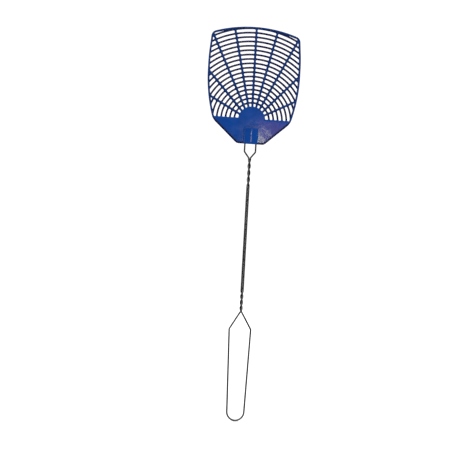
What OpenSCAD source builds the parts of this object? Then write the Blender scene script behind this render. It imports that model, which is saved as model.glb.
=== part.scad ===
// Fly swatter.
// A one-piece moulded plastic head is pushed onto the two free ends of one steel wire.
// The wire is bent double: its middle is the grip loop, its two strands are twisted
// together above the grip and again below the head, and run side by side in between.
//
// Frame: +Z runs from the grip to the head, X is the width, and the socket faces -Y.
// The origin is the centre of the bend at the end of the grip loop.

/* [Wire] */
// Diameter of the steel wire
wire_d = 2; // [1.6:0.1:2]
// Gap left between the two strands where they run side by side
strand_gap = 0.06; // [0.04:0.01:0.12]

/* [Grip loop] */
// Centreline radius of the bend at the end of the grip
end_bend_r = 10.3; // [9.5:0.1:12]
// Height of the shoulders, where the loop is widest
shoulder_z = 99; // [92:1:104]
// Distance from the axis to the wire at the shoulders
shoulder_x = 13; // [12:0.5:16]
// Centreline radius of the bend at each shoulder
shoulder_bend_r = 4; // [3:0.5:6]

/* [Twists] */
// Height of the crossing where the grip loop closes
lower_cross_z = 121; // [119:0.5:124]
// Length of the lower twist
lower_twist_len = 25.4; // [24:0.2:30]
// Height where the strands come together under the head
upper_meet_z = 305; // [303:0.2:306]
// Length of the upper twist
upper_twist_len = 36; // [33:0.2:39]

/* [Prongs] */
// Distance from the axis to each prong
prong_x = 6.7; // [6:0.1:7]
// Height of the bend below each prong
prong_bend_z = 312.4; // [311:0.2:315]
// Centreline radius of that bend
prong_bend_r = 2; // [1.5:0.25:2.5]
// Length of prong held in the socket
prong_hold = 16.8; // [14:0.2:17]

/* [Head] */
// Height of the centre that the curved ribs share
ring_z = 350.5; // [350:0.5:352]
// Half the width of the head
head_half_w = 56.3; // [56:0.1:57.8]
// Thickness of the solid plate
plate_t = 1.6; // [1.4:0.1:1.8]
// Radius of the round dome at the top of the plate
dome_r = 16.6; // [15:0.2:17.4]
// Height of the plate's straight top edges above the rib centre
shelf_v = 2.2; // [1:0.2:3]
// Width of the outer rim
rim_w = 2.4; // [1.8:0.1:2.6]
// Thickness of the outer rim
rim_t = 2.2; // [2:0.1:2.6]

/* [Ribs] */
// Number of curved ribs
ring_count = 18; // [16:1:18]
// Radius of the innermost curved rib
ring_first_r = 21.2; // [20.4:0.2:22]
// Distance from one curved rib to the next
ring_step = 5.3; // [5.1:0.02:5.32]
// Width of a curved rib
ring_w = 2.3; // [1.6:0.1:2.4]
// Thickness of a curved rib
ring_t = 1.5; // [1.2:0.1:1.6]
// Width of a straight rib
spoke_w = 2.6; // [2:0.1:2.8]
// Thickness of a straight rib
spoke_t = 1.9; // [1.7:0.1:2]
// Angle between the feet of neighbouring straight ribs on the dome
spoke_foot_step = 16.4; // [15.6:0.2:16.8]

/* [Socket] */
// Width of the raised socket
socket_w = 17.2; // [16.8:0.1:18]
// Height of the socket above the plate's bottom edge
socket_h = 20; // [19:0.5:22]
// Radius of the socket's two upper corners
socket_corner_r = 3.6; // [2:0.2:5]
// How far the socket's crown stands in front of the wire's centre
socket_crown = 2.6; // [2.4:0.1:3]
// Radial clearance of each prong in its bore
prong_clear = 0.04; // [0.02:0.01:0.08]
// Half the width of the solid web between the two channels
web_half_w = 1.8; // [1.4:0.1:2.4]

/* [Hidden] */

wire_r = wire_d / 2;
strand_x = (wire_d + strand_gap) / 2;
round_fn = 48;

// Heights where each twist meets the straight strands
lower_twist_top_z = lower_cross_z + lower_twist_len;
upper_twist_foot_z = upper_meet_z - upper_twist_len;

// Angles at which a strand enters its twist: across the other one, or beside it
lower_start_a = 90;
upper_start_a = 0;
// Both twists end side by side after this angle, so each has three full beads
twist_end_a = 720;
// Angle that a swept strand turns from one ring of points to the next
twist_step_a = 22.5;
// Part of a twist over which its winding starts or dies out
twist_ease = 0.08;
// Centreline radius of the bend where a leg comes beside the other one
meet_bend_r = 2;
// Length of the slanting leg over which a strand comes back into the handle's plane
leg_ease_len = 5;
leg_steps = 4;
// Sides of a swept strand, and how much thinner it is, so that it ends inside the round wire
strand_sides = 12;
strand_fit = 0.99;
strand_embed = 0.6;

shoulder = [shoulder_x, shoulder_z];
prong_foot = [prong_x, prong_bend_z];
// Where the straight leg of the grip touches the end bend
leg_foot_a = atan2(shoulder_z, shoulder_x) - acos(end_bend_r / norm(shoulder));
grip_foot = end_bend_r * [cos(leg_foot_a), sin(leg_foot_a)];

// The head's back face, flush with the back of every rib
head_back_y = 1.8;
bottom_v = -28.6;
bore_r = wire_r + prong_clear;
bore_extra = 0.7;
prong_tip = [prong_x, ring_z + bottom_v + prong_hold];
bore_h = prong_hold + bore_extra;
crown_r = 30;
// Overshoot of cutting shapes, and the side of a square larger than the head
cut = 1;
cover = 4 * head_half_w;

// Lean of each straight rib from the axis, from the middle one outwards
spoke_lean = [0, 12.9, 26.2, 42.8, 62.2];
// A little more than the longest straight rib, and its length inside the dome
spoke_len = 110;
spoke_root = 2;
// How far the ribs run into the plate below its top edge
rib_root = 0.8;
// Largest distance between an arc and its chords, in the head's outline and in the wire
chord_error = 0.03;
wire_chord_error = 0.012;

// Outline of the head, right half from the bottom up: corner x, corner height, radius.
// The last corner is on the axis and its radius is that of the head's arched top.
head_corners = [
    [16.7, bottom_v, 7],
    [47.4, -1, 18],
    [head_half_w, 32, 190],
    [head_half_w, 75, 190],
    [head_half_w - 2.4, 103.6, 7.5],
    [0, 120.9, 158]
];

// ---------- plane geometry ----------

function unit(v) = v / norm(v);
function wrap(a) = a > 180 ? a - 360 : a < -180 ? a + 360 : a;
function polar(r, a) = r * [cos(a), sin(a)];
function angle_of(v) = atan2(v.y, v.x);
function xy(v) = [v.x, v.y];

// Half the angle between the two sides of the corner at b
function half_angle(a, b, c) = acos(unit(a - b) * unit(c - b)) / 2;
// Distance from the corner at b to where its arc begins
function tangent_len(a, b, c, r) = r / tan(half_angle(a, b, c));
function arc_centre(a, b, c, r) =
    b + unit(unit(a - b) + unit(c - b)) * r / sin(half_angle(a, b, c));

// Points along the arc that rounds the corner at b
function corner_arc(a, b, c, r, error = chord_error) =
    let (
        centre = arc_centre(a, b, c, r),
        t = tangent_len(a, b, c, r),
        from = angle_of(b + unit(a - b) * t - centre),
        turn = wrap(angle_of(b + unit(c - b) * t - centre) - from),
        steps = ceil(abs(turn) / (2 * acos(1 - error / r)))
    )
    [for (i = [0:steps]) centre + polar(r, from + turn * i / steps)];

// A closed outline of corners [x, y, radius], each rounded
function rounded(corners) =
    let (n = len(corners))
    [
        for (i = [0:n - 1])
        each corner_arc(xy(corners[(i + n - 1) % n]), xy(corners[i]),
            xy(corners[(i + 1) % n]), corners[i][2])
    ];

// The corners moved inwards by d along the bisector of their two sides
function inset(corners, d) =
    let (n = len(corners))
    [
        for (i = [0:n - 1])
        let (
            a = xy(corners[(i + n - 1) % n]),
            b = xy(corners[i]),
            c = xy(corners[(i + 1) % n]),
            p = b + unit(unit(a - b) + unit(c - b)) * d / sin(half_angle(a, b, c))
        )
        [p.x, p.y, corners[i][2] - d]
    ];

// The whole outline, with the left half mirrored from the right
full_corners = concat(
    head_corners,
    [for (i = [len(head_corners) - 2:-1:0])
        [-head_corners[i].x, head_corners[i].y, head_corners[i][2]]]
);

// ---------- wire ----------

// A straight, truly round run of wire between two points of the handle's plane
module run(a, b)
    rotate([90, 0, 0])
    translate([a.x, a.y, 0])
    rotate([0, 0, angle_of(b - a)])
    rotate([0, 90, 0])
    cylinder(d = wire_d, h = norm(b - a), $fn = round_fn);

// A point of the handle's plane, as a point in space
function in_plane(p) = [p.x, 0, p.y];

// Share of the winding done at t, easing in over ease_in and to a stop at t = 1
function winding(t, ease_in) =
    let (
        slow_in = t < ease_in ? t - t * t / (2 * ease_in) : ease_in / 2,
        late = max(0, t - 1 + twist_ease)
    )
    (t - slow_in - late * late / (2 * twist_ease)) / (1 - ease_in / 2 - twist_ease / 2);

// Where a leg, drawn out straight, enters its twist
function entry(start_a, z) = [strand_x * cos(start_a), z];

// Centreline of one strand: out of the straight run at far, round the corner, along the
// slanting leg into the twist, and along the twist into the straight shaft.
// up is the sense in which the twist runs from its start.
function strand_path(far, corner, bend_r, start_a, start_z, up, twist_len) =
    let (
        joint = entry(start_a, start_z),
        leg = unit(corner - joint),
        beside = start_a == 0,
        ahead = joint + [0, up],
        used = beside ? tangent_len(corner, joint, ahead, meet_bend_r) : 0,
        turn = twist_end_a - start_a,
        steps = turn / twist_step_a,
        arc = corner_arc(far, corner, joint, bend_r, wire_chord_error)
    )
    concat(
        [in_plane(arc[0] + unit(far - corner) * strand_embed)],
        [for (p = arc) in_plane(p)],
        beside
            ? [for (p = corner_arc(corner, joint, ahead, meet_bend_r, wire_chord_error)) in_plane(p)]
            : [for (i = [leg_steps:-1:1])
                let (s = i / leg_steps, p = joint + leg * leg_ease_len * s)
                [p.x, strand_x * pow(cos(90 * s), 2), p.y]],
        [for (i = [beside ? 1 : 0:steps])
            let (t = i / steps, a = start_a + turn * winding(t, beside ? twist_ease : 0))
            [strand_x * cos(a), strand_x * sin(a), start_z + up * (used + (twist_len - used) * t)]],
        [[strand_x, 0, start_z + up * (twist_len + strand_embed)]]
    );

// Ring of points round the centreline at p, square to its direction
function ring_points(p, along, r) =
    let (
        side = unit([0, 1, 0] - along * along.y),
        across = cross(along, side)
    )
    [for (k = [0:strand_sides - 1])
        let (a = 360 * (k + 0.5) / strand_sides)
        p + r * (cos(a) * side + sin(a) * across)];

// A closed tube along a path
module swept_strand(path) {
    n = len(path);
    m = strand_sides;
    rings = [
        for (i = [0:n - 1])
        let (along = unit(path[min(i + 1, n - 1)] - path[max(i - 1, 0)]))
        ring_points(path[i], along, wire_r * strand_fit)
    ];
    sides = [
        for (i = [0:n - 2], k = [0:m - 1])
        let (a = i * m + k, b = i * m + (k + 1) % m)
        each [[a, b + m, b], [a, a + m, b + m]]
    ];
    ends = [[for (k = [0:m - 1]) k], [for (k = [m - 1:-1:0]) (n - 1) * m + k]];
    polyhedron([for (ring = rings) each ring], concat(sides, ends));
}

// The strand on the +X side, from the grip's end bend to the prong's tip
module strand() {
    t_low = tangent_len(grip_foot, shoulder, entry(lower_start_a, lower_cross_z), shoulder_bend_r);
    t_up = tangent_len(prong_tip, prong_foot, entry(upper_start_a, upper_meet_z), prong_bend_r);
    run(grip_foot, shoulder + unit(grip_foot - shoulder) * t_low);
    swept_strand(strand_path(grip_foot, shoulder, shoulder_bend_r,
        lower_start_a, lower_cross_z, 1, lower_twist_len));
    run([strand_x, lower_twist_top_z], [strand_x, upper_twist_foot_z]);
    swept_strand(strand_path(prong_tip, prong_foot, prong_bend_r,
        upper_start_a, upper_meet_z, -1, upper_twist_len));
    run(prong_foot + [0, t_up], prong_tip);
}

// The bend at the end of the grip, reaching a little into both legs
module end_bend() {
    turn = 180 + 2 * leg_foot_a;
    steps = ceil(turn / (2 * acos(1 - wire_chord_error / end_bend_r)));
    into_leg = unit(shoulder - grip_foot) * strand_embed;
    arc = [for (i = [0:steps]) polar(end_bend_r, leg_foot_a - turn * i / steps)];
    first = grip_foot + into_leg;
    swept_strand([for (p = concat([first], arc, [[-first.x, first.y]])) in_plane(p)]);
}

module wire_handle()
    color([0.45, 0.46, 0.47])
    union() {
        strand();
        rotate([0, 0, 180])
            strand();
        end_bend();
    }

// ---------- head ----------

// Extrudes a flat shape of the head forwards from its back face
module layer(t)
    translate([0, head_back_y, ring_z])
    rotate([90, 0, 0])
    linear_extrude(t)
    children();

module outline(d = 0)
    polygon(rounded(inset(full_corners, d)));

module rim()
    layer(rim_t)
    difference() {
        outline();
        outline(rim_w);
    }

// Area that the ribs fill, from the middle of the rim to just inside the plate
module rib_area()
    intersection() {
        outline(rim_w / 2);
        translate([-cover / 2, shelf_v - rib_root])
            square([cover, cover]);
    }

module curved_ribs()
    layer(ring_t)
    intersection() {
        rib_area();
        union()
            for (i = [0:ring_count - 1])
                difference() {
                    circle(r = ring_first_r + i * ring_step + ring_w / 2, $fn = 4 * round_fn);
                    circle(r = ring_first_r + i * ring_step - ring_w / 2, $fn = 4 * round_fn);
                }
    }

// One straight rib, counted from the middle one outwards
module straight_rib(i)
    rotate(-i * spoke_foot_step)
    translate([0, dome_r])
    rotate(i * spoke_foot_step - spoke_lean[i])
    translate([-spoke_w / 2, -spoke_root])
    square([spoke_w, spoke_len]);

module straight_ribs()
    layer(spoke_t)
    intersection() {
        rib_area();
        union() {
            straight_rib(0);
            for (i = [1:len(spoke_lean) - 1], side = [0, 1])
                mirror([side, 0])
                    straight_rib(i);
        }
    }

module plate()
    layer(plate_t)
    union() {
        circle(r = dome_r, $fn = 4 * round_fn);
        intersection() {
            outline();
            translate([-cover / 2, shelf_v - cover])
                square([cover, cover]);
        }
    }

// The raised socket: a block with two round upper corners and a gently crowned front
module socket_block() {
    corner_x = socket_w / 2 - socket_corner_r;
    corner_v = bottom_v + socket_h - socket_corner_r;
    intersection() {
        layer(head_back_y + socket_crown)
            union() {
                translate([-socket_w / 2, bottom_v])
                    square([socket_w, socket_h - socket_corner_r]);
                translate([-corner_x, bottom_v])
                    square([2 * corner_x, socket_h]);
                for (side = [-1, 1])
                    translate([side * corner_x, corner_v])
                        circle(r = socket_corner_r, $fn = round_fn);
            }
        translate([0, crown_r - socket_crown, ring_z + bottom_v - cut])
            cylinder(r = crown_r, h = socket_h + 2 * cut, $fn = 4 * round_fn);
    }
}

// The hollow that takes one prong: a round bore with a flat channel on its inner side
module prong_channel() {
    translate([prong_x, 0, ring_z + bottom_v - cut])
        cylinder(r = bore_r, h = bore_h + cut, $fn = round_fn);
    translate([web_half_w, -bore_r, ring_z + bottom_v - cut])
        cube([prong_x - web_half_w, 2 * bore_r, bore_h + cut]);
}

module head()
    color([0.08, 0.25, 0.56])
    difference() {
        union() {
            rim();
            plate();
            curved_ribs();
            straight_ribs();
            socket_block();
        }
        prong_channel();
        mirror([1, 0, 0])
            prong_channel();
    }

wire_handle();
head();
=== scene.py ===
import math

import bmesh
import bpy
from mathutils import Matrix, Vector


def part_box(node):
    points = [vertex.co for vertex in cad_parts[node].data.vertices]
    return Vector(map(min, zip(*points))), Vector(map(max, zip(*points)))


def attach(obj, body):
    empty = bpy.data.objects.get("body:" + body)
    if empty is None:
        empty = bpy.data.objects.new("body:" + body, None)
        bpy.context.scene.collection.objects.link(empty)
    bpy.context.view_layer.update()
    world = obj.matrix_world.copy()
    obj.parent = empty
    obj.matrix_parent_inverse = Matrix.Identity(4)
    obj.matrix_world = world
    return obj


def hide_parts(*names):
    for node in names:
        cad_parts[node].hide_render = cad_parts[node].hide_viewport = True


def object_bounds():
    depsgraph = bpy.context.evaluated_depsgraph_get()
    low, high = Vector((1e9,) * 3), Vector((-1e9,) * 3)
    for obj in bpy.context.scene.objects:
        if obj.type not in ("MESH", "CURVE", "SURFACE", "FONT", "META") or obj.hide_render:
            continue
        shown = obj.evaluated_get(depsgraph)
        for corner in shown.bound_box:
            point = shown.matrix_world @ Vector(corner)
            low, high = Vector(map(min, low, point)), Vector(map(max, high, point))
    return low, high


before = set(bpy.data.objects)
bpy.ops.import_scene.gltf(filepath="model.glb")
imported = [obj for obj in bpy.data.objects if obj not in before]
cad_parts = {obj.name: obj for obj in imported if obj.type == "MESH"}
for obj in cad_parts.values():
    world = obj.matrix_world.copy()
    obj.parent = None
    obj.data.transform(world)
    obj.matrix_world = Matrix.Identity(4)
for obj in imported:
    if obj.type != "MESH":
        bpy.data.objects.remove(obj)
CAD_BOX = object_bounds()

# ---------- sizes, in metres ----------

MM = 0.001

HEAD_LO, HEAD_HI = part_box("head")
WIRE_TOP_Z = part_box("wire_handle")[1].z

# Head: v is the height above the centre of the curved ribs, and depth is measured forwards from
# the flat back face
BOTTOM_V = -28.6 * MM
RING_Z = HEAD_LO.z - BOTTOM_V
BACK_Y = HEAD_HI.y
HALF_W = HEAD_HI.x
DOME_R = 16.6 * MM
SHELF_V = 2.2 * MM
PLATE_T = 1.6 * MM
RIM_W, RIM_T = 2.4 * MM, 2.2 * MM
RING_W, RING_T = 2.3 * MM, 1.5 * MM
SPOKE_W, SPOKE_T = 2.6 * MM, 1.9 * MM
RING_COUNT, RING_FIRST_R, RING_STEP = 18, 21.2 * MM, 5.3 * MM
# The straight ribs, in degrees: the steps between their feet on the dome, and how each one leans
SPOKE_FOOT_STEP = 16.4
SPOKE_LEAN = (0, 12.9, 26.2, 42.8, 62.2)
# The slope of the outline beside the socket, between two of its corners
SLOPE_FOOT, SLOPE_TOP = Vector((16.7, -28.6)) * MM, Vector((47.4, -1)) * MM
# The outline's corners on the right, from the bottom up: place, rounding radius and steps
RIGHT_CORNERS = (
    (SLOPE_FOOT, 7 * MM, 8),
    (SLOPE_TOP, 18 * MM, 12),
    (Vector((HALF_W, 32 * MM)), 190 * MM, 24),
    (Vector((HALF_W, 75 * MM)), 190 * MM, 10),
    (Vector((HALF_W - 2.4 * MM, 103.6 * MM)), 7.5 * MM, 12),
    (Vector((0, 120.9 * MM)), 158 * MM, 56),
)
# Small radii along the bars, at their backs and at their fronts
RIB_BACK_R, RING_FRONT_R, SPOKE_FRONT_R = 0.25 * MM, 0.6 * MM, 0.55 * MM
RIM_BACK_R, RIM_FRONT_R = 0.3 * MM, 0.7 * MM
# How far the ribs run into the plate and the dome, and the steps they are built and measured in
RING_ROOT, SPOKE_ROOT = 0.8 * MM, 2 * MM
RING_STEP_LENGTH, RING_STEP_A, RING_MIN_STEPS = 1.6 * MM, 3, 4
SPOKE_STEP_LENGTH = 4 * MM
REACH_STEP, REACH_STEP_A = 0.1 * MM, 0.1
# The webs in the corners of the openings: the radius, how far the web's ends and its corner sink
# into the bars, and its cross-sections as (scale, depth)
FILLET_R, FILLET_STEPS = 0.9 * MM, 5
FILLET_SUNK, FILLET_OVERLAP = 0.12 * MM, 0.3 * MM
FILLET_LEVELS = ((0.94, 0.02 * MM), (1.0, 0.2 * MM), (1.0, 0.75 * MM), (0.9, 1.05 * MM))
# The plate's softened edge, and the grid that keeps its faces small
PLATE_EDGE_R, PLATE_EDGE_STEPS, DOME_STEPS = 0.3 * MM, 3, 48
PLATE_GRID = 7.3 * MM
GRID_COLUMNS, GRID_ROWS = range(-7, 8), range(-4, 3)
# The marks of the mould's ejector pins, as places on the back in millimetres
PIN_R, PIN_MARK, PIN_SIDES = 2.5 * MM, 0.08 * MM, 32
PIN_PLACES = ((-28, -7), (28, -7), (0, 7), (-12, -21), (12, -21))
PIN_OVERCUT = 0.5 * MM

# Socket
SOCKET_W, SOCKET_H = 17.2 * MM, 20 * MM
SOCKET_TOP_R, SOCKET_TOP_MIN_R, SOCKET_FOOT_R = 3.6 * MM, 0.4 * MM, 0.35 * MM
SOCKET_ARC_STEPS, SOCKET_SIDE_STEPS = 10, 14
SOCKET_ROOT_DEPTH = 0.4 * MM
SOCKET_CROWN = -HEAD_LO.y
SOCKET_EDGE_R, SOCKET_EDGE_STEPS = 1.3 * MM, 6
CROWN_R, CROWN_STEPS, CROWN_TIP = 30 * MM, 8, 0.02
WEB_HALF_W = 1.8 * MM
BORE_R, BORE_STEPS = 1.04 * MM, 16
BORE_H, BORE_OVERCUT = 17.5 * MM, 1 * MM
CHANNEL_CORNER_R = 0.3 * MM

# Wire
WIRE_R = 1.0 * MM
STRAND_X = 1.03 * MM
END_BEND_R = 10.3 * MM
SHOULDER = Vector((13, 99)) * MM
SHOULDER_BEND_R = 4 * MM
LOWER_CROSS_Z, LOWER_TWIST, LOWER_START_A = 121 * MM, 25.4 * MM, 90
UPPER_MEET_Z, UPPER_TWIST, UPPER_START_A = 305 * MM, 36 * MM, 0
PRONG_FOOT = Vector((6.7, 312.4)) * MM
PRONG_BEND_R = 2 * MM
MEET_BEND_R = 2 * MM
BEND_STEPS, END_BEND_STEPS = 10, 24
LEG_EASE, LEG_STEPS = 5 * MM, 14
TWIST_END_A = 720
TWIST_STEP_A = 6
TWIST_EASE = 0.08
WIRE_SIDES = 18
WIRE_LONGEST_STEP = 4 * MM
WIRE_END_EASE = 0.15 * MM
SAME_POINT = 0.001 * MM
ALONG_WIRE = "along_wire"

# Looks: pairs of shades that each material drifts between, and the studio
PLATE_BLUES = ((0.0010, 0.032, 0.178), (0.0020, 0.040, 0.210))
# The ribs' and rim's blues: the plate's blue darkened as painted shade
RIB_SHADED_BLUES = ((0.0004, 0.0035, 0.036), (0.0008, 0.0055, 0.052))
# The straight ribs' fronts: a painted half shade between the plate's and the ribs' blues
SPOKE_HALF_SHADED_BLUES = ((0.0014, 0.018, 0.100), (0.0024, 0.025, 0.125))
SPECK_BLUE = (0.06, 0.12, 0.36)
PLASTIC_IOR = 1.49
STEELS = ((0.16, 0.16, 0.17), (0.34, 0.34, 0.36))
DULL_STEEL = (0.17, 0.16, 0.15)
FLOOR_GREYS = ((0.94, 0.94, 0.94), (0.96, 0.96, 0.96))
# Where the painted darker shades start: past the plate and dome, above the curved ribs, and, as
# spans to fade over, inwards from the outline and forwards from the back face
SHADE_GAP, SPOKE_SHADE_GAP = 0.3 * MM, 0.15 * MM
RIM_SHADE = (RIM_W - 0.5 * MM, RIM_W + 0.1 * MM)
DEPTH_SHADE = (0.05 * MM, 0.6 * MM)
# Faces that meet at more than this angle, in degrees, keep a sharp edge
PLASTIC_SHARP_A, WIRE_SHARP_A = 40, 60
ROOM_LIGHT = 1.12
# The room in reflections: from this height of the ray to that one, from this strength to that one
REFLECTED_SKY = (0.05, 0.9, 0.045, 0.8)
FLOOR_HALF = 6.0
FLOOR_GAP = 0.2 * MM

# Lights: name, place, what it points at, size, power, colour and whether it is reflected
MIDDLE = Vector((0, 0, 240)) * MM
ON_PLATE = Vector((27, 0, 337)) * MM
WHITE = (1, 1, 1)
LIGHTS = (
    ("key", (1.1, -1.3, 1.3), MIDDLE, (0.9, 0.9), 12, WHITE, False),
    ("fill", (-1.4, -0.8, 0.5), MIDDLE, (0.4, 1.2), 3, WHITE, True),
    ("back", (0.4, 1.6, 1.3), MIDDLE, (1.2, 0.8), 10, WHITE, True),
    ("haze", (0.215, -1.19, 0.490), ON_PLATE, (0.075, 0.066), 0.028, (1, 0.22, 0.12), True),
    ("glint", (0.174, -1.19, 0.464), ON_PLATE, (0.028, 0.034), 0.065, (1, 0.95, 0.5), True),
)

# Camera: angles in degrees, and the width it sees at its target's distance
CAMERA_AZIMUTH, CAMERA_ELEVATION, CAMERA_ROLL = -6.03, -0.77, 3.245
CAMERA_TARGET = Vector((-25.1 * MM, 0, 222.7 * MM))
CAMERA_DISTANCE = 1.0
CAMERA_FIELD = 0.5396
SENSOR_W = 36

# ---------- plane geometry ----------


def polar(r, degrees):
    """A point at that angle from the x axis."""
    return Vector((r * math.cos(math.radians(degrees)), r * math.sin(math.radians(degrees))))


def corner_arc(a, b, c, r, steps):
    """Points along the arc that rounds the corner at b, between a and c."""
    u, w = (a - b).normalized(), (c - b).normalized()
    half = u.angle(w) / 2
    centre = b + (u + w).normalized() * r / math.sin(half)
    first = b + u * r / math.tan(half) - centre
    last = b + w * r / math.tan(half) - centre
    turn = math.atan2(first.x * last.y - first.y * last.x, first.dot(last))
    return [centre + Matrix.Rotation(turn * i / steps, 2) @ first for i in range(steps + 1)]


def head_corners(d=0.0):
    """The head's outline as corners (point, radius, steps), moved inwards by d."""
    left = [(Vector((-p.x, p.y)), r, n) for p, r, n in RIGHT_CORNERS[-2::-1]]
    corners = list(RIGHT_CORNERS) + left
    out = []
    for i, (b, r, n) in enumerate(corners):
        a, c = corners[i - 1][0], corners[(i + 1) % len(corners)][0]
        u, w = (a - b).normalized(), (c - b).normalized()
        out.append((b + (u + w).normalized() * d / math.sin(u.angle(w) / 2), r - d, n))
    return out


def outline(d=0.0):
    """The head's outline as points, moved inwards by d."""
    corners = head_corners(d)
    pts = []
    for i, (b, r, n) in enumerate(corners):
        pts += corner_arc(corners[i - 1][0], b, corners[(i + 1) % len(corners)][0], r, n)
    return pts


def inside(p, convex):
    """Whether p lies inside a counter-clockwise convex polygon."""
    return all(
        (b.x - a.x) * (p.y - a.y) - (b.y - a.y) * (p.x - a.x) >= 0
        for a, b in zip(convex, convex[1:] + convex[:1])
    )


def in_space(p, depth=0.0):
    """A point of the head's plane, at that depth in front of the back face."""
    return Vector((p.x, BACK_Y - depth, RING_Z + p.y))


# ---------- meshes ----------


def new_mesh(name, verts, faces):
    """An object with that mesh, in the scene."""
    mesh = bpy.data.meshes.new(name)
    mesh.from_pydata([tuple(v) for v in verts], [], faces)
    mesh.validate()
    obj = bpy.data.objects.new(name, mesh)
    bpy.context.scene.collection.objects.link(obj)
    return obj


def lofts(name, solids, closed=False):
    """One mesh of solids, each through rings of the same number of points, capped if open."""
    verts, faces = [], []
    for rings in solids:
        base, m, n = len(verts), len(rings[0]), len(rings)
        verts += [v for ring in rings for v in ring]
        for i in range(n if closed else n - 1):
            here, there = base + i * m, base + (i + 1) % n * m
            for k in range(m):
                after = (k + 1) % m
                faces.append((here + k, here + after, there + after, there + k))
        if not closed:
            faces.append(tuple(base + k for k in reversed(range(m))))
            faces.append(tuple(base + (n - 1) * m + k for k in range(m)))
    obj = new_mesh(name, verts, faces)
    outward(obj)
    return obj


def loft(name, rings, closed=False):
    """A solid through rings of the same number of points."""
    return lofts(name, [rings], closed)


def outward(obj):
    """Turns the faces outwards."""
    bm = bmesh.new()
    bm.from_mesh(obj.data)
    bmesh.ops.recalc_face_normals(bm, faces=bm.faces)
    bm.to_mesh(obj.data)
    bm.free()


def rib_section(width, thickness, back_r, front_r, steps=3):
    """A rib's closed section as (across, depth): small radii at the back, larger in front."""
    half = width / 2
    corners = (
        (half - back_r, back_r, back_r, -90),
        (half - front_r, thickness - front_r, front_r, 0),
        (front_r - half, thickness - front_r, front_r, 90),
        (back_r - half, back_r, back_r, 180),
    )
    pts = []
    for x, depth, r, start_a in corners:
        for i in range(steps + 1):
            a = math.radians(start_a + 90 * i / steps)
            pts.append((x + r * math.cos(a), depth + r * math.sin(a)))
    return pts


def sweep_rings(path, normals, section):
    """Rings of a section along a path in the head's plane."""
    return [[in_space(p + n * x, d) for x, d in section] for p, n in zip(path, normals)]


def arcs_inside(r, area):
    """The stretch of a circle about the rib centre that lies in the rib area, as angles from +z."""
    def ok(a):
        p = polar(r, 90 - a)
        return inside(p, area) and p.y > SHELF_V - RING_ROOT

    first = 0.0
    while not ok(first):
        first += REACH_STEP_A
    last = first
    while ok(last + REACH_STEP_A):
        last += REACH_STEP_A
    return first, last


def curved_rib_spans(area):
    """Radius and end angles of every curved rib."""
    out = []
    for i in range(RING_COUNT):
        r = RING_FIRST_R + i * RING_STEP
        first, last = arcs_inside(r, area)
        out += [(r, -last, last)] if first == 0 else [(r, -last, -first), (r, first, last)]
    return out


def curved_ribs(spans):
    """All the curved ribs, each swept round its arc."""
    section = rib_section(RING_W, RING_T, RIB_BACK_R, RING_FRONT_R)
    solids = []
    for r, a0, a1 in spans:
        length = math.radians(a1 - a0) * r
        steps = max(RING_MIN_STEPS, int(length / RING_STEP_LENGTH), int((a1 - a0) / RING_STEP_A))
        normals = [polar(1, 90 - (a0 + (a1 - a0) * k / steps)) for k in range(steps + 1)]
        solids.append(sweep_rings([n * r for n in normals], normals, section))
    return lofts("curved_ribs", solids)


def straight_rib_lines(area):
    """Foot on the dome, direction and length of every straight rib."""
    out = []
    for i, tilt in enumerate(SPOKE_LEAN):
        for side in ((1,) if i == 0 else (1, -1)):
            foot = polar(DOME_R, 90 - side * i * SPOKE_FOOT_STEP)
            along = polar(1, 90 - side * tilt)
            length = 0.0
            while inside(foot + along * length, area):
                length += REACH_STEP
            out.append((foot, along, length))
    return out


def straight_ribs(lines):
    """All the straight ribs, each swept from inside the dome to the rim."""
    section = rib_section(SPOKE_W, SPOKE_T, RIB_BACK_R, SPOKE_FRONT_R)
    solids = []
    for foot, along, length in lines:
        across = Vector((along.y, -along.x))
        steps = int(length / SPOKE_STEP_LENGTH)
        path = [foot + along * ((length + SPOKE_ROOT) * k / steps - SPOKE_ROOT)
                for k in range(steps + 1)]
        solids.append(sweep_rings(path, [across] * len(path), section))
    return lofts("straight_ribs", solids)


def fillet(at, u, a, w, b):
    """The web in the corner beside two bars that cross at a point.

    u and w are the bars' directions, pointing towards the corner's side, and a and b their
    half widths. The centre of the web's rounding is given as well."""
    nu = (w - u * w.dot(u)).normalized()
    nw = (u - w * u.dot(w)).normalized()

    def where(du, dw):
        det = nu.x * nw.y - nu.y * nw.x
        return at + Vector(((du * nw.y - dw * nu.y) / det, (dw * nu.x - du * nw.x) / det))

    centre = where(a + FILLET_R, b + FILLET_R)
    first, last = -nu * FILLET_R, -nw * FILLET_R
    turn = math.atan2(first.x * last.y - first.y * last.x, first.dot(last))
    arc = [centre + Matrix.Rotation(turn * i / FILLET_STEPS, 2) @ first
           for i in range(FILLET_STEPS + 1)]
    inner = where(a - FILLET_OVERLAP, b - FILLET_OVERLAP)
    loop = [inner, arc[0] - nu * FILLET_SUNK] + arc + [arc[-1] - nw * FILLET_SUNK]
    core = where(a, b)
    web = [[in_space(core + (p - core) * s, d) for p in loop] for s, d in FILLET_LEVELS]
    return web, centre


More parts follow.
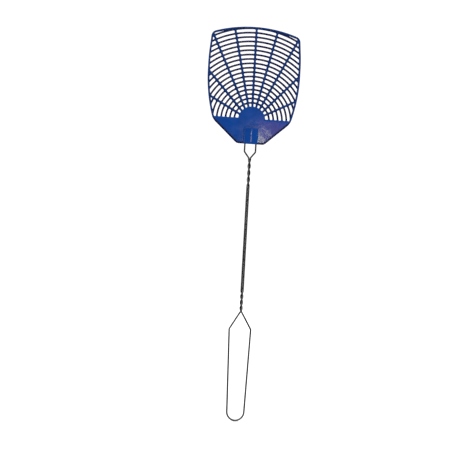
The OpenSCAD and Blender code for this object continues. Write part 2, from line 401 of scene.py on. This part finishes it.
def fillets(spans, lines):
    """Webs in the corners of the openings, where ribs meet ribs, dome and plate."""
    solids = []
    room = outline(RIM_W / 2 + FILLET_R)

    def corner(at, u, a, w, b):
        web, centre = fillet(at, u, a, w, b)
        if inside(centre, room):
            solids.append(web)

    # Along the straight ribs: at the dome, and where the curved ribs cross
    for foot, along, length in lines:
        tangent = Vector((foot.y, -foot.x)).normalized()
        for s in (1, -1):
            corner(foot, tangent * s, 0, along, SPOKE_W / 2)
        for r, a0, a1 in spans:
            t = -foot.dot(along) + math.sqrt(foot.dot(along) ** 2 - foot.length ** 2 + r ** 2)
            at = foot + along * t
            angle = 90 - math.degrees(math.atan2(at.y, at.x))
            if not a0 < angle < a1 or t > length:
                continue
            ring = Vector((at.y, -at.x)).normalized()
            for su in (1, -1):
                for sw in (1, -1):
                    corner(at, ring * su, RING_W / 2, along * sw, SPOKE_W / 2)
    # Where the curved ribs run into the plate's straight edges
    for r, a0, a1 in spans:
        for a in (a0, a1):
            end = polar(r, 90 - a)
            if end.y < SHELF_V:
                at = Vector((math.copysign(math.sqrt(r ** 2 - SHELF_V ** 2), end.x), SHELF_V))
                along = Vector((-at.y, at.x)).normalized() * math.copysign(1, at.x)
                for s in (1, -1):
                    corner(at, Vector((s, 0)), 0, along, RING_W / 2)
    return solids


def rim():
    """The rim all round the head: a closed loft of outlines."""
    section = rib_section(RIM_W, RIM_T, RIM_BACK_R, RIM_FRONT_R, steps=4)
    loops = [[in_space(p, d) for p in outline(RIM_W / 2 - x)] for x, d in section]
    rings = [list(ring) for ring in zip(*loops)]
    return loft("rim", rings, closed=True)


def split(bm, at, normal):
    """Divides every face that crosses a plane."""
    everything = bm.verts[:] + bm.edges[:] + bm.faces[:]
    bmesh.ops.bisect_plane(bm, geom=everything, plane_co=at, plane_no=normal)


def plate():
    """The solid plate with its dome, with softened front and back edges."""
    right = [p for p in outline(RIM_W / 2) if p.y < SHELF_V and p.x > 0]
    right.sort(key=lambda p: p.y)
    right.append(Vector((right[-1].x, SHELF_V)))
    dome_a = math.degrees(math.asin(SHELF_V / DOME_R))
    dome = [polar(DOME_R, dome_a + (180 - 2 * dome_a) * i / DOME_STEPS)
            for i in range(DOME_STEPS + 1)]
    loop = right + dome + [Vector((-p.x, p.y)) for p in reversed(right)]
    verts = [in_space(p, 0) for p in loop] + [in_space(p, PLATE_T) for p in loop]
    n = len(loop)
    faces = [tuple(range(n)), tuple(reversed(range(n, 2 * n)))]
    faces += [(i, i + n, (i + 1) % n + n, (i + 1) % n) for i in range(n)]
    obj = new_mesh("plate", verts, faces)
    outward(obj)
    bm = bmesh.new()
    bm.from_mesh(obj.data)
    edges = [e for e in bm.edges if abs(e.verts[0].co.y - e.verts[1].co.y) < PLATE_T / 2]
    bmesh.ops.bevel(bm, geom=edges, offset=PLATE_EDGE_R, segments=PLATE_EDGE_STEPS, profile=0.5,
                    affect="EDGES")
    for i in GRID_COLUMNS:
        split(bm, Vector((i * PLATE_GRID, 0, 0)), Vector((1, 0, 0)))
    for i in GRID_ROWS:
        split(bm, Vector((0, 0, RING_Z + i * PLATE_GRID)), Vector((0, 0, 1)))
    bm.to_mesh(obj.data)
    bm.free()
    return obj


def socket_loop(d):
    """The socket's outline, moved inwards by d."""
    half, top_r = SOCKET_W / 2 - d, max(SOCKET_TOP_R - d, SOCKET_TOP_MIN_R)
    top_v = BOTTOM_V + SOCKET_H - d - top_r
    foot_v = BOTTOM_V + d + SOCKET_FOOT_R
    corners = (
        (Vector((half - SOCKET_FOOT_R, foot_v)), SOCKET_FOOT_R, -90),
        (Vector((half - top_r, top_v)), top_r, 0),
        (Vector((top_r - half, top_v)), top_r, 90),
        (Vector((SOCKET_FOOT_R - half, foot_v)), SOCKET_FOOT_R, 180),
    )
    arcs = [[centre + polar(r, start_a + 90 * i / SOCKET_ARC_STEPS)
             for i in range(SOCKET_ARC_STEPS + 1)]
            for centre, r, start_a in corners]
    pts = []
    for arc, following in zip(arcs, arcs[1:] + arcs[:1]):
        pts += arc
        pts += [arc[-1].lerp(following[0], i / SOCKET_SIDE_STEPS)
                for i in range(1, SOCKET_SIDE_STEPS)]
    return pts


def socket():
    """The raised socket: straight sides, a rounded edge and a crowned front."""
    def front(p):
        return BACK_Y + SOCKET_CROWN - (CROWN_R - math.sqrt(CROWN_R ** 2 - p.x ** 2))

    rings = [[in_space(p, SOCKET_ROOT_DEPTH) for p in socket_loop(0)]]
    for i in range(SOCKET_EDGE_STEPS + 1):
        a = math.radians(90 * i / SOCKET_EDGE_STEPS)
        d = SOCKET_EDGE_R * (1 - math.cos(a))
        drop = SOCKET_EDGE_R * (1 - math.sin(a))
        rings.append([in_space(p, front(p) - drop) for p in socket_loop(d)])
    base = socket_loop(SOCKET_EDGE_R)
    core = Vector((0, BOTTOM_V + SOCKET_H / 2))
    for s in [1 - i / CROWN_STEPS for i in range(1, CROWN_STEPS)] + [CROWN_TIP]:
        ring = [core + (p - core) * s for p in base]
        rings.append([in_space(p, front(p)) for p in ring])
    return loft("socket", rings)


def channel(side):
    """The hollow for one prong: round on its outer side, with a flat channel inwards."""
    prong = Vector((PRONG_FOOT.x, 0))
    inner = Vector((WEB_HALF_W + CHANNEL_CORNER_R, BORE_R - CHANNEL_CORNER_R))
    section = [prong + polar(BORE_R, 180 * i / BORE_STEPS - 90) for i in range(BORE_STEPS + 1)]
    # The web's side: the upper half of its rounded corners, then the same three points below
    corner = [inner + polar(CHANNEL_CORNER_R, a) for a in (90, 112.5)]
    corner.append(Vector((WEB_HALF_W, CHANNEL_CORNER_R)))
    section += corner + [Vector((p.x, -p.y)) for p in reversed(corner)]
    heights = (HEAD_LO.z - BORE_OVERCUT, HEAD_LO.z + BORE_H)
    return loft("channel", [[Vector((side * p.x, p.y, z)) for p in section] for z in heights])


def ejector_mark(x, v):
    """The shallow round mark that a mould's ejector pin leaves on the back."""
    circle = [Vector((x, v)) + polar(PIN_R, 360 * i / PIN_SIDES) for i in range(PIN_SIDES)]
    rings = [[in_space(p, depth) for p in circle] for depth in (-PIN_OVERCUT, PIN_MARK)]
    return loft("ejector_mark", rings)


def combine(base, others, operation):
    """A boolean of base with each of the others, which are used up."""
    for other in others:
        mod = base.modifiers.new("cut", "BOOLEAN")
        mod.operation = operation
        mod.solver = "MANIFOLD"
        mod.object = other
    depsgraph = bpy.context.evaluated_depsgraph_get()
    mesh = bpy.data.meshes.new_from_object(base.evaluated_get(depsgraph))
    base.modifiers.clear()
    base.data = mesh
    for other in others:
        bpy.data.objects.remove(other, do_unlink=True)
    return base


def build_head():
    """The whole moulding, as one mesh."""
    area = outline(RIM_W / 2)
    spans = curved_rib_spans(area)
    lines = straight_rib_lines(area)
    webs = lofts("webs", fillets(spans, lines))
    zones = [plate(), curved_ribs(spans), straight_ribs(lines), webs, socket()]
    head = combine(rim(), zones, "UNION")
    marks = [ejector_mark(x * MM, v * MM) for x, v in PIN_PLACES]
    head = combine(head, [channel(1), channel(-1)] + marks, "DIFFERENCE")
    head.name = "moulded_head"
    return head


# ---------- wire ----------


def winding(t, ease_in):
    """Share of a twist's winding done at t, easing in over ease_in and to a stop at 1."""
    slow_in = t - t * t / (2 * ease_in) if t < ease_in else ease_in / 2
    late = max(0, t - 1 + TWIST_EASE)
    return (t - slow_in - late ** 2 / (2 * TWIST_EASE)) / (1 - ease_in / 2 - TWIST_EASE / 2)


def in_plane(p):
    """A point of the plane y = 0, in which the wire is bent."""
    return Vector((p.x, 0, p.y))


def strand_path(far, corner, bend_r, start_a, start_z, up, twist_len):
    """One strand from the straight run at far, round the corner, into and along its twist."""
    joint = Vector((STRAND_X * math.cos(math.radians(start_a)), start_z))
    pts = [in_plane(p) for p in corner_arc(far, corner, joint, bend_r, BEND_STEPS)]
    used, ease = 0.0, 0.0
    if start_a == 0:
        # The strands meet side by side, and the winding eases in
        meet = corner_arc(corner, joint, joint + Vector((0, up)), MEET_BEND_R, BEND_STEPS)
        pts += [in_plane(p) for p in meet]
        used, ease = abs(meet[-1].y - start_z), TWIST_EASE
    else:
        # The strands cross, one in front of the other
        leg = (corner - joint).normalized()
        for i in range(LEG_STEPS, 0, -1):
            p = joint + leg * LEG_EASE * i / LEG_STEPS
            y = STRAND_X * math.cos(math.pi / 2 * i / LEG_STEPS) ** 2
            pts.append(Vector((p.x, y, p.y)))
    turn = TWIST_END_A - start_a
    steps = turn // TWIST_STEP_A
    for i in range(steps + 1):
        t = i / steps
        a = math.radians(start_a + turn * winding(t, ease))
        z = start_z + up * (used + (twist_len - used) * t)
        pts.append(Vector((STRAND_X * math.cos(a), STRAND_X * math.sin(a), z)))
    return pts


def half_wire():
    """Centreline of the +X strand, from the prong's tip down to the end bend."""
    tip = Vector((PRONG_FOOT.x, WIRE_TOP_Z))
    # The leg of the grip loop is a tangent to the end bend, and its foot is where they touch
    lean = math.atan2(SHOULDER.y, SHOULDER.x) - math.acos(END_BEND_R / SHOULDER.length)
    foot_a = math.degrees(lean)
    foot = polar(END_BEND_R, foot_a)
    upper = strand_path(tip, PRONG_FOOT, PRONG_BEND_R, UPPER_START_A, UPPER_MEET_Z, -1,
                        UPPER_TWIST)
    lower = strand_path(foot, SHOULDER, SHOULDER_BEND_R, LOWER_START_A, LOWER_CROSS_Z, 1,
                        LOWER_TWIST)
    bend = [polar(END_BEND_R, foot_a - (90 + foot_a) * i / END_BEND_STEPS)
            for i in range(END_BEND_STEPS + 1)]
    return [in_plane(tip)] + upper + lower[::-1] + [in_plane(p) for p in bend]


def tube(name, path, r, sides):
    """A closed tube along a path, with slightly softened cut ends."""
    def ring(p, along, radius):
        side = (Vector((0, 1, 0)) - along * along.y).normalized()
        across = along.cross(side)
        return [p + radius * (math.cos(a) * side + math.sin(a) * across)
                for a in (2 * math.pi * k / sides for k in range(sides))]

    n, ease = len(path), WIRE_END_EASE
    along = [(path[min(i + 1, n - 1)] - path[max(i - 1, 0)]).normalized() for i in range(n)]
    rings = [ring(path[0], along[0], r - ease), ring(path[0] + along[0] * ease, along[0], r)]
    rings += [ring(path[i], along[i], r) for i in range(1, n - 1)]
    rings += [ring(path[-1] - along[-1] * ease, along[-1], r), ring(path[-1], along[-1], r - ease)]
    obj = loft(name, rings)
    # Where each point lies round and along the wire, for the drawing marks in its material
    run = [0.0]
    for a, b in zip(path, path[1:]):
        run.append(run[-1] + (b - a).length)
    run = [run[0]] + run + [run[-1]]
    round_wire = [polar(r, 360 * k / sides) for k in range(sides)]
    places = [c for length in run for p in round_wire for c in (p.x, p.y, length)]
    marks = obj.data.attributes.new(ALONG_WIRE, "FLOAT_VECTOR", "POINT")
    marks.data.foreach_set("vector", places)
    return obj


def spaced(path, longest):
    """The path with points added so that no step is over that length."""
    out = [path[0]]
    for p in path[1:]:
        start = out[-1]
        step = p - start
        if step.length < SAME_POINT:
            continue
        n = math.ceil(step.length / longest)
        out += [start + step * k / n for k in range(1, n + 1)]
    return out


def build_wire():
    """The whole wire: the one strand, and the other as its half turn about the z axis."""
    half = half_wire()
    other = [Vector((-p.x, -p.y, p.z)) for p in reversed(half[:-1])]
    return tube("bent_wire", spaced(half + other, WIRE_LONGEST_STEP), WIRE_R, WIRE_SIDES)


# ---------- materials ----------

RANGE_INPUTS = ("From Min", "From Max", "To Min", "To Max")


class Nodes:
    """A small helper that adds and links shader nodes."""

    def __init__(self, name):
        self.mat = bpy.data.materials.new(name)
        self.mat.use_nodes = True
        self.tree = self.mat.node_tree
        self.shader = self.tree.nodes["Principled BSDF"]
        self.place = self.add("ShaderNodeTexCoord").outputs["Object"]

    def add(self, kind, **values):
        node = self.tree.nodes.new(kind)
        for key, value in values.items():
            setattr(node, key, value)
        return node

    def link(self, a, b):
        self.tree.links.new(a, b)

    def set(self, name, value):
        """A shader input: a number goes on the socket itself, anything else is linked to it."""
        if isinstance(value, (int, float)):
            self.shader.inputs[name].default_value = value
        else:
            self.link(value, self.shader.inputs[name])

    def stretched(self, scale, vector=None):
        """The place, or another vector, with each axis scaled."""
        node = self.add("ShaderNodeMapping")
        node.inputs["Scale"].default_value = scale
        self.link(vector or self.place, node.inputs["Vector"])
        return node.outputs["Vector"]

    def attribute(self, name):
        return self.add("ShaderNodeAttribute", attribute_name=name).outputs["Vector"]

    def noise(self, scale, detail, rough, vector=None):
        node = self.add("ShaderNodeTexNoise")
        node.inputs["Scale"].default_value = scale
        node.inputs["Detail"].default_value = detail
        node.inputs["Roughness"].default_value = rough
        self.link(vector or self.place, node.inputs["Vector"])
        return node.outputs["Fac"]

    def map(self, value, start, end):
        """The value moved from the first range to the second one, and held within it."""
        node = self.add("ShaderNodeMapRange")
        for key, v in zip(RANGE_INPUTS, (*start, *end)):
            node.inputs[key].default_value = v
        self.link(value, node.inputs["Value"])
        return node.outputs["Result"]

    def math(self, op, a, b=None):
        node = self.add("ShaderNodeMath", operation=op)
        for entry, v in zip(node.inputs, (a,) if b is None else (a, b)):
            if isinstance(v, (int, float)):
                entry.default_value = v
            else:
                self.link(v, entry)
        return node.outputs["Value"]

    def mix(self, fac, a, b):
        node = self.add("ShaderNodeMix", data_type="RGBA")
        for key, v in (("Factor", fac), ("A", a), ("B", b)):
            entry = next(s for s in node.inputs if s.name == key and s.enabled)
            if isinstance(v, tuple):
                entry.default_value = (*v, 1)
            else:
                self.link(v, entry)
        return next(s for s in node.outputs if s.enabled)

    def bump(self, height, distance, strength, normal=None):
        node = self.add("ShaderNodeBump")
        node.inputs["Strength"].default_value = strength
        node.inputs["Distance"].default_value = distance
        self.link(height, node.inputs["Height"])
        if normal:
            self.link(normal, node.inputs["Normal"])
        return node.outputs["Normal"]


def plastic():
    """Blue plastic, with painted shade: lighter in the plate, darker in the ribs and the rim."""
    n = Nodes("blue_moulded_plastic")
    axes = n.add("ShaderNodeSeparateXYZ")
    n.link(n.place, axes.inputs["Vector"])
    x, y, z = axes.outputs
    x = n.math("ABSOLUTE", x)
    v = n.math("SUBTRACT", z, RING_Z)
    depth = n.math("SUBTRACT", BACK_Y, y)

    # Painted shade on the rib area: what lies above the plate's straight edges and beyond its dome
    above = n.math("GREATER_THAN", v, SHELF_V + SHADE_GAP)
    r2 = n.math("ADD", n.math("MULTIPLY", v, v), n.math("MULTIPLY", x, x))
    beyond = n.math("GREATER_THAN", r2, (DOME_R + SHADE_GAP) ** 2)
    ribs = n.math("MULTIPLY", above, beyond)
    # Painted shade on the rim below it, from the distances to the bottom edge and to the slopes
    slope = (SLOPE_TOP - SLOPE_FOOT).normalized()
    up_slope = n.math("MULTIPLY", n.math("SUBTRACT", v, BOTTOM_V), slope.x)
    along_slope = n.math("MULTIPLY", n.math("SUBTRACT", x, SLOPE_FOOT.x), slope.y)
    from_slope = n.math("SUBTRACT", up_slope, along_slope)
    from_edge = n.math("MINIMUM", from_slope, n.math("SUBTRACT", v, BOTTOM_V))
    rim_zone = n.map(from_edge, RIM_SHADE, (1, 0))
    beside = n.math("GREATER_THAN", x, SOCKET_W / 2)
    edge = n.math("MULTIPLY", rim_zone, beside)
    # The painted shade fades towards the flat back, where the ribs are nearly as light as the plate
    by_depth = n.map(depth, DEPTH_SHADE, (0.3, 1))
    painted_rib_shade = n.math("MULTIPLY", n.math("MAXIMUM", ribs, edge), by_depth)
    # Painted half shade on the fronts of the straight ribs and the rim, above the curved ribs
    spoke = n.math("MULTIPLY", n.math("GREATER_THAN", depth, RING_T + SPOKE_SHADE_GAP), ribs)

    # Each shade drifts, and carries a few pale specks of dust
    blend = n.map(n.noise(scale=60, detail=4, rough=0.55), (0.35, 0.65), (0, 1))
    # The ribs and rim take their darker blue as painted shade
    colour = n.mix(painted_rib_shade, n.mix(blend, *PLATE_BLUES), n.mix(blend, *RIB_SHADED_BLUES))
    # The straight ribs' and rim's fronts take a painted half shade
    colour = n.mix(spoke, colour, n.mix(blend, *SPOKE_HALF_SHADED_BLUES))
    specks = n.map(n.noise(scale=900, detail=2, rough=0.6), (0.64, 0.8), (0, 0.10))
    n.set("Base Color", n.mix(specks, colour, SPECK_BLUE))

    # Roughness: smears from handling, and fine scuffs
    scratch = n.noise(scale=1, detail=2, rough=0.5, vector=n.stretched((2600, 400, 160)))
    scuff = n.map(scratch, (0.62, 0.75), (0, 0.12))
    smear = n.map(n.noise(scale=140, detail=5, rough=0.6), (0.3, 0.7), (0.07, 0.12))
    n.set("Roughness", n.math("ADD", smear, scuff))

    # Relief: the mould's fine grain, its shallow sink marks, and the scuffs
    peel = n.bump(n.noise(scale=1500, detail=2, rough=0.5), 0.01 * MM, 0.12)
    sink = n.bump(n.noise(scale=70, detail=2, rough=0.5), 0.6 * MM, 0.15, peel)
    n.set("Normal", n.bump(scratch, 0.01 * MM, 0.25, sink))
    n.set("IOR", PLASTIC_IOR)
    return n.mat


def steel():
    """Drawn steel wire: streaks along it, dull patches and fine pits."""
    n = Nodes("drawn_steel_wire")
    round_and_along = n.stretched((4500, 4500, 60), n.attribute(ALONG_WIRE))
    drawn = n.noise(scale=1, detail=3, rough=0.6, vector=round_and_along)
    cloud = n.noise(scale=45, detail=4, rough=0.6)
    streaked = n.mix(n.map(drawn, (0.35, 0.65), (0, 1)), *STEELS)
    n.set("Base Color", n.mix(n.map(cloud, (0.45, 0.75), (0, 0.5)), streaked, DULL_STEEL))

    patches = n.map(cloud, (0.3, 0.7), (0.24, 0.36))
    n.set("Roughness", n.math("ADD", patches, n.map(drawn, (0.4, 0.7), (0, 0.12))))

    pits = n.bump(n.noise(scale=2600, detail=3, rough=0.6), 0.02 * MM, 0.4)
    n.set("Normal", n.bump(drawn, 0.03 * MM, 0.5, pits))
    n.set("Metallic", 1.0)
    return n.mat


def pale_floor():
    """A plain, matt, nearly white floor."""
    n = Nodes("pale_floor")
    drift = n.map(n.noise(scale=6, detail=3, rough=0.5), (0.3, 0.7), (0, 1))
    n.set("Base Color", n.mix(drift, *FLOOR_GREYS))
    n.set("Roughness", 0.9)
    n.set("Specular IOR Level", 0.0)
    return n.mat


# ---------- stage ----------


def floor():
    """A square floor just under the object."""
    z = CAD_BOX[0].z - FLOOR_GAP
    corners = [(x * FLOOR_HALF, y * FLOOR_HALF, z) for x, y in ((-1, -1), (1, -1), (1, 1), (-1, 1))]
    obj = new_mesh("floor", corners, [(0, 1, 2, 3)])
    obj.data.materials.append(pale_floor())
    obj.visible_glossy = False


def area_light(name, at, target, size, power, colour, reflected):
    """A rectangular light that points at its target."""
    data = bpy.data.lights.new(name, "AREA")
    data.shape = "RECTANGLE"
    data.size, data.size_y = size
    data.energy = power
    data.color = colour
    obj = bpy.data.objects.new(name, data)
    obj.location = at
    obj.rotation_mode = "QUATERNION"
    obj.rotation_quaternion = (target - Vector(at)).to_track_quat("-Z", "Y")
    obj.visible_glossy = reflected
    bpy.context.scene.collection.objects.link(obj)


def studio():
    """A white room: bright to the camera and for diffuse light, a dim gradient in reflections."""
    world = bpy.data.worlds.new("studio")
    bpy.context.scene.world = world
    world.use_nodes = True
    world.cycles.sampling_method = "NONE"
    tree = world.node_tree
    coord = tree.nodes.new("ShaderNodeTexCoord")
    axes = tree.nodes.new("ShaderNodeSeparateXYZ")
    tree.links.new(coord.outputs["Generated"], axes.inputs["Vector"])
    ramp = tree.nodes.new("ShaderNodeMapRange")
    ramp.interpolation_type = "SMOOTHSTEP"
    for key, value in zip(RANGE_INPUTS, REFLECTED_SKY):
        ramp.inputs[key].default_value = value
    tree.links.new(axes.outputs["Z"], ramp.inputs["Value"])
    path = tree.nodes.new("ShaderNodeLightPath")
    pick = tree.nodes.new("ShaderNodeMix")
    tree.links.new(path.outputs["Is Glossy Ray"], pick.inputs["Factor"])
    pick.inputs["A"].default_value = ROOM_LIGHT
    tree.links.new(ramp.outputs["Result"], pick.inputs["B"])
    tree.links.new(pick.outputs["Result"], tree.nodes["Background"].inputs["Strength"])
    tree.nodes["Background"].inputs["Color"].default_value = (1, 1, 1, 1)


def camera():
    """The photograph's viewpoint: almost square on, slightly from the left, rolled a little."""
    elevation = math.radians(CAMERA_ELEVATION)
    level = polar(math.cos(elevation), CAMERA_AZIMUTH - 90)
    back = Vector((level.x, level.y, math.sin(elevation)))
    side = (-back).cross(Vector((0, 0, 1))).normalized()
    top = side.cross(-back)
    roll = polar(1, CAMERA_ROLL)
    right = side * roll.x + top * roll.y
    up = top * roll.x - side * roll.y
    data = bpy.data.cameras.new("camera")
    data.sensor_width = SENSOR_W
    data.lens = SENSOR_W * CAMERA_DISTANCE / CAMERA_FIELD
    obj = bpy.data.objects.new("camera", data)
    bpy.context.scene.collection.objects.link(obj)
    turn = Matrix((right, up, back)).transposed().to_4x4()
    obj.matrix_world = Matrix.Translation(CAMERA_TARGET + back * CAMERA_DISTANCE) @ turn
    bpy.context.scene.camera = obj


def finish_piece(obj, body, node, material, sharp):
    """Gives a piece its material and edges and its body, and hides the CAD node that it stands for.
    """
    obj.data.materials.clear()
    obj.data.materials.append(material)
    obj.data.shade_smooth()
    obj.data.set_sharp_from_angle(angle=math.radians(sharp))
    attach(obj, body)
    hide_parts(node)


bpy.context.scene.view_settings.view_transform = "Standard"

camera()
finish_piece(build_head(), "swatter_head", "head", plastic(), PLASTIC_SHARP_A)
finish_piece(build_wire(), "handle", "wire_handle", steel(), WIRE_SHARP_A)
floor()
studio()
for row in LIGHTS:
    area_light(*row)
